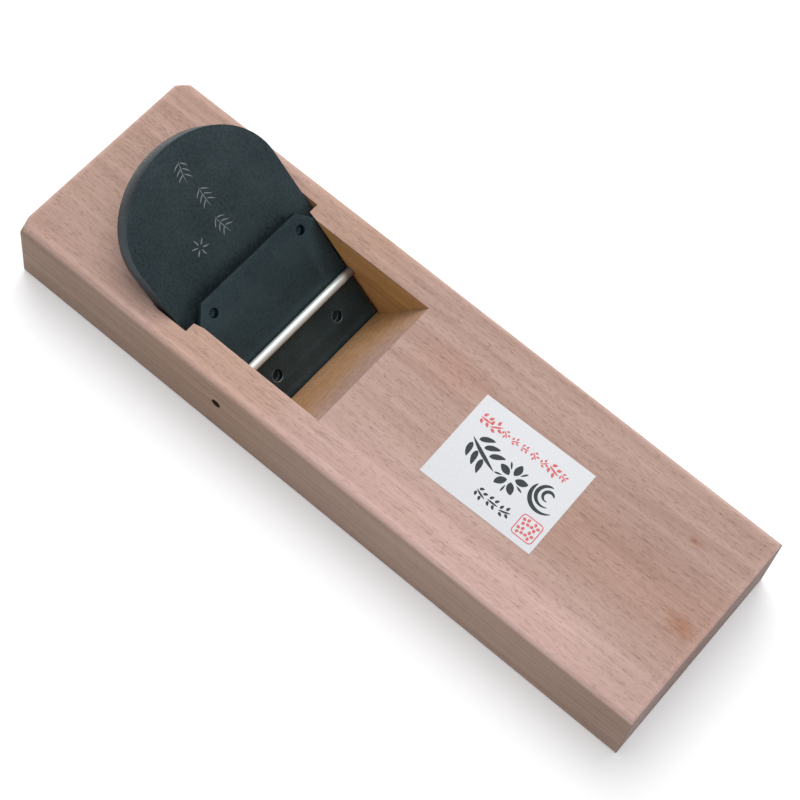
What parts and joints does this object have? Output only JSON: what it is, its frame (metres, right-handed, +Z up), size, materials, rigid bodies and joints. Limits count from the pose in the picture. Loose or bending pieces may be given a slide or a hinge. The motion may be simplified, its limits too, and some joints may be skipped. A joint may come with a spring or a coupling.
{
  "type": "hand plane",
  "caption": "Low wooden pull plane with a wedge blade holder, replaceable blade, chipbreaker and steel cross pin in a sloped throat.",
  "frame": {"origin": "middle of the sole, halfway along its length and width", "axes": "+X towards the front end, the direction the plane is pulled; +Y to the right side; +Z up from the sole"},
  "size_m": [0.271, 0.084, 0.0636],
  "materials": {
    "oak": "bare planed oak, matt",
    "bright_steel": "bright drawn bar",
    "label_paper": "matt paper",
    "black_steel": "blackened forged steel, satin",
    "blade_steel": "ground thin blade",
    "black_plate": "blackened plate, satin"
  },
  "bodies": {
    "body": {"body_block": "oak", "cross_pin": "bright_steel", "paper_label": "label_paper"},
    "blade": {"blade_holder": "black_steel", "replaceable_blade": "blade_steel", "left_blade_peg": "black_steel", "right_blade_peg": "black_steel"},
    "chipbreaker": {"chipbreaker": "black_plate"}
  },
  "joints": [
    {"name": "blade_slide", "type": "slide", "parent": "body", "child": "blade", "axis": [0.7809, 0, -0.6247], "range_m": [-0.04, 0.0002]},
    {"name": "chipbreaker_slide", "type": "slide", "parent": "blade", "child": "chipbreaker", "axis": [0.7665, 0, -0.6423], "range_m": [-0.02, 0.0001]}
  ]
}
